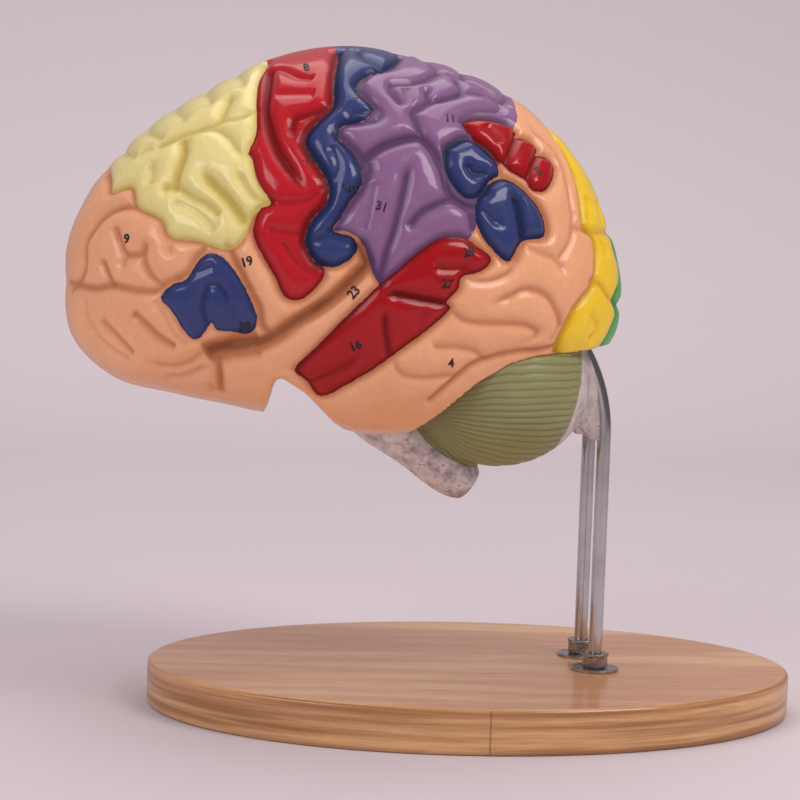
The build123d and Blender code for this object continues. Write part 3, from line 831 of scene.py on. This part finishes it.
for name, values in measures.items():
    brain_mesh.attributes.new(name, "FLOAT", "POINT").data.foreach_set(
        "value", values.astype(np.float32))
for face in brain_mesh.polygons:
    face.use_smooth = True

painted_relief, relief_sockets, place = new_finish(
    "painted_relief", Specular_IOR_Level=0.12, Coat_Roughness=0.13)


def measure(place, name):
    """A value that the mesh carries."""
    return place.node("Attribute", {"attribute_name": name}, {}, 2)


brushed = place.cloud(330.0, 2.0)
edge_wander = (brushed - 0.5) * 1.1
# The creases darken the colour: partly a painted wash, partly painted shade.
crease_depth = measure(place, "crease")
shallow = crease_depth.ramp(0.06, 0.40)
deep_down = crease_depth.ramp(0.35, 0.85)
mottle = place.cloud(38.0, 3.0)
fine_mottle = place.cloud(260.0, 3.0)
paints = {
    # colour on the crests, in shallow creases and deep down, the darker crease colours being a
    # painted wash and painted shade; flesh is the bare casting
    "flesh": ("DE9F78", "AA6743", "7A3E20"),
    "pale_yellow": ("D8C885", "BCA556", "A08430"),
    "purple": ("7F5A81", "553A5D", "38243F"),
    "red": ("AC1420", "760810", "4E0306"),
    "crimson": ("9A0610", "68040A", "3E0204"),
    "blue": ("2F3869", "1C2348", "0E122A"),
    "bright_yellow": ("E2BB28", "BE901A", "94700F"),
    "green": ("4E9A55", "2A6035", "1C4426"),
    "callosum": ("E6D9C2", "B9A58A", "8C785E"),
}
covered = None
for name, (plain, middle, deep) in paints.items():
    crease_wash_and_shade = shallow.blend(tint(plain), tint(middle))
    crease_wash_and_shade = deep_down.blend(crease_wash_and_shade, tint(deep))
    if name == "flesh":
        colour = (mottle.ramp(0.3, 0.75) * 0.35).blend(crease_wash_and_shade, tint("D29068"))
        continue
    depth = measure(place, name) + edge_wander
    painted = depth.ramp(-0.25, 0.25)
    rim_wash = depth.ramp(0.2, 2.0, 0.35, 0.0)
    colour = painted.blend(colour, rim_wash.blend(crease_wash_and_shade, tint(middle)))
    covered = painted if covered is None else covered.function("MAXIMUM", painted)
colour = (fine_mottle.ramp(0.45, 0.8) * 0.10).blend(colour, tint("FFFFFF"), "OVERLAY")
place.feed(relief_sockets["Base Color"], colour)
dullness = covered * -0.10 + mottle * 0.10 + shallow * 0.15 + 0.42
place.feed(relief_sockets["Roughness"], dullness)
place.feed(relief_sockets["Coat Weight"], shallow * -0.5 + 0.55)
place.feed(relief_sockets["Normal"], (fine_mottle * 0.5 + covered).relief(0.10, 0.0005))
brain_mesh.materials.clear()
brain_mesh.materials.append(painted_relief)


def other_half(made, name):
    """The mirror image of a left piece across the median plane."""
    copy = bmesh.new()
    copy.from_mesh(made.data)
    bmesh.ops.scale(copy, vec=(1, -1, 1), verts=copy.verts)
    bmesh.ops.reverse_faces(copy, faces=copy.faces)
    return new_piece(name, copy)


right_brain = other_half(left_brain, "right_brain")
right_brain.data.materials.append(painted_relief)
for made, side in ((left_brain, "left"), (right_brain, "right")):
    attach(made, side + "_half")
    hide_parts(side + "_hemisphere")


# Key numbers: small plain figures printed in dark ink on both halves, the right way round
# on each. Every figure is laid on the relief and is a fraction of a millimetre thick.
figure_height = 6.4
figure_boldness = 0.16
ink_above = 0.12
ink_thickness = 0.35
aim_distance = 200.0
key_numbers = [
    # figure, x, z, turn in degrees seen from the left
    ("9", -206, 267, 0), ("19", -143, 257, 18), ("30", -143, 223, 0), ("15", -92, 298, -50),
    ("31", -74, 288, -15), ("23", -87, 243, 50), ("16", -85, 215, 28), ("28", -27, 266, 15),
    ("27", -38, 249, 0), ("4", -33, 207, 5), ("8", -112, 363, 5), ("12", -88, 347, -40),
    ("13", -113, 312, -15), ("11", -36, 337, 0), ("5", 14, 311, 30),
]
printed_ink, ink_sockets, place = new_finish("printed_ink")
worn_ink = place.cloud(600.0, 3.0)
ink_colour = worn_ink.ramp(0.45, 0.75).blend(tint("221A20"), tint("4A3A40"))
place.feed(ink_sockets["Base Color"], ink_colour)
place.feed(ink_sockets["Roughness"], worn_ink.ramp(0.2, 0.8, 0.35, 0.6))
for brain, side, facing in ((left_brain, "left", -1), (right_brain, "right", 1)):
    surface = BVHTree.FromObject(brain, bpy.context.evaluated_depsgraph_get())
    ink = bmesh.new()
    for figure, x, z, degrees in key_numbers:
        words = bpy.data.curves.new("figure", "FONT")
        words.body = figure
        words.size = figure_height
        words.offset = figure_boldness
        words.align_x = "CENTER"
        words.align_y = "CENTER"
        words.resolution_u = 3
        writing = bpy.data.objects.new("figure", words)
        scene.collection.objects.link(writing)
        flat_figure = bpy.data.meshes.new_from_object(writing)
        bpy.data.objects.remove(writing)
        first = len(ink.verts)
        ink.from_mesh(flat_figure)
        ink.verts.ensure_lookup_table()
        turned = Matrix.Rotation(math.radians(-facing * degrees), 2)
        for corner in ink.verts[first:]:
            right, up = turned @ corner.co.xy
            aim = Vector((x - facing * right, facing * aim_distance, z + up)) * millimetre
            spot, normal = surface.ray_cast(aim, Vector((0, -facing, 0)))[:2]
            corner.co = spot + normal * ink_above * millimetre
    bmesh.ops.solidify(ink, geom=ink.faces[:], thickness=ink_thickness * millimetre)
    bmesh.ops.recalc_face_normals(ink, faces=ink.faces)
    numbers = new_piece(side + "_key_numbers", ink)
    numbers.data.materials.append(printed_ink)
    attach(numbers, side + "_half")


# Stem castings: cerebellum half, brain stem and rod web in one pale resin casting. The
# cerebellum is ribbed with narrow leaves and painted olive, the rest is left marbled.
cerebellum_centre = np.array((6.0, 193.0))
cerebellum_half = np.array((54.0, 98.0, 50.0))
leaf_pitch = 4.05
leaf_root_x = -39.0
leaf_spread = 20.5
leaf_middle = 178
leaf_droop = 4
leaf_droop_x = -45
leaf_droop_reach = 20
leaf_wander = 0.22
wander_size = 14.0
leaf_depth = 0.7
leaf_sharpness = 1.3
leaf_border = 1.2
olive_tolerance = 0.09
olive_scale = 30
olive_border = 1.5
olive_edge = [(37, 163), (40, 172), (43, 187), (45.5, 198), (48, 213)]
rod_y = -21.0
web_left = 0.35
web_start, web_blend = 0.05, 0.25
web_front_x, web_low = 35, 150
casting_top = 224
lift_front_x = -60
lift_rate = 0.014
stem_foot, stem_slant = 150, 0.55
seat_blend = 20
seat_reach = 1.2
seat_tolerance = 2
casting_copy = bmesh.new()
casting_copy.from_mesh(nodes["left_stem_casting"].data)
bmesh.ops.remove_doubles(casting_copy, verts=casting_copy.verts, dist=1e-5)
left_casting = new_piece("left_stem", casting_copy)
casting_mesh = settle(left_casting, [
    ("REMESH", {"mode": "VOXEL", "voxel_size": 1.0 * millimetre}),
    ("SMOOTH", {"factor": 0.5, "iterations": 3}),
])
spots = positions(casting_mesh)
arm = (spots[:, [0, 2]] - cerebellum_centre) / cerebellum_half[[0, 2]]
depth_share = np.clip((-spots[:, 1] - half_gap) / cerebellum_half[1], 0, 2)
ball_value = (arm**2).sum(1) + depth_share**fullness - 1
olive_depth = (olive_tolerance - np.abs(ball_value)) * olive_scale
x, z = spots[:, 0], spots[:, 2]
edge_x, edge_z = zip(*olive_edge)
olive_depth = np.minimum(olive_depth, np.interp(z, edge_z, edge_x) - x)
olive_depth = np.minimum(olive_depth, -spots[:, 1] - olive_border)
middle_z = leaf_middle - leaf_droop * np.exp(-np.maximum(x - leaf_droop_x, 0) / leaf_droop_reach)
spread = 1 - np.exp(-np.maximum(x - leaf_root_x, 2.0) / leaf_spread)
wobble = np.array([noise.noise(Vector(spot) / wander_size) for spot in spots])
leaf_row = (z - middle_z) / spread / leaf_pitch + leaf_wander * wobble
leaf_wave = np.abs(np.sin(math.pi * leaf_row))
normals = np.zeros(len(spots) * 3)
casting_mesh.vertex_normals.foreach_get("vector", normals)
normals = normals.reshape(-1, 3)
under_flat = np.interp(x, *zip(*flat_seat)) - z
facing_out = (spots[:, 1] < -leaf_border) & (under_flat > leaf_border)
leaf_cut = np.where(facing_out & (olive_depth > 0), (1 - leaf_wave) ** leaf_sharpness, 0.0)
spots -= normals * (leaf_depth * leaf_cut)[:, None]
# The front lower corner is lifted clear of the temporal lobe, the top follows the seat shown,
# and the web narrows towards the rod.
forward = np.maximum(lift_front_x - x, 0)
stem_low = stem_foot + stem_slant * forward
below_top = np.clip((casting_top - z) / (casting_top - stem_low), 0, 1)
spots[:, 2] += lift_rate * forward**2 * below_top
raised = np.interp(x, *zip(*seat_line)) - np.interp(x, *zip(*flat_seat))
near_seat = np.clip(1 - under_flat / seat_blend, 0, 1)
near_seat = near_seat * (np.abs(ball_value) < seat_reach) * (under_flat > -seat_tolerance)
spots[:, 2] += raised * near_seat**1.5
web_share = np.clip((ball_value - web_start) / web_blend, 0, 1)
web_share = web_share * (x > web_front_x) * (z > web_low)
spots[:, 1] = rod_y + (spots[:, 1] - rod_y) * (1 - (1 - web_left) * web_share)
casting_mesh.vertices.foreach_set("co", (spots * millimetre).ravel())
for name, values in {"olive": olive_depth, "leaf_row": leaf_row}.items():
    casting_mesh.attributes.new(name, "FLOAT", "POINT").data.foreach_set(
        "value", values.astype(np.float32))
for face in casting_mesh.polygons:
    face.use_smooth = True
stem_plastic, stem_sockets, place = new_finish("stem_plastic")
veins = place.cloud(110.0, 6.0, 0.7, 0.3)
specks = place.cloud(420.0, 3.0, 0.7)
marble = veins.ramp(0.40, 0.72).blend(tint("D6C9CB"), tint("8E8288"))
marble = (specks.ramp(0.58, 0.68) * 0.75).blend(marble, tint("5C4E58"))
# Painted shade: the bare plastic is coloured darker towards the rear, over the web by the rod.
marble = place.part(0).ramp(0.030, 0.055, 0.0, 0.45).blend(marble, tint("857672"))
ribs = (measure(place, "leaf_row") * math.pi).function("SINE").function("ABSOLUTE")
olive = place.cloud(60.0, 3.0).blend(tint("8E8E5E"), tint("7C7C50"))
# Painted shade: the olive is coloured darker in the valleys between the leaves.
olive = (ribs.ramp(0.75, 0.10) * 0.8).blend(olive, tint("6E6E46"))
stem_colour = measure(place, "olive").ramp(-0.5, 0.5).blend(marble, olive)
place.feed(stem_sockets["Base Color"], stem_colour)
place.feed(stem_sockets["Roughness"], veins.ramp(0.2, 0.8, 0.40, 0.55))
place.feed(stem_sockets["Normal"], specks.relief(0.10, 0.0004))
casting_mesh.materials.clear()
casting_mesh.materials.append(stem_plastic)
right_casting = other_half(left_casting, "right_stem")
right_casting.data.materials.append(stem_plastic)
for made, side in ((left_casting, "left"), (right_casting, "right")):
    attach(made, side + "_half")
    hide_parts(side + "_stem_casting")
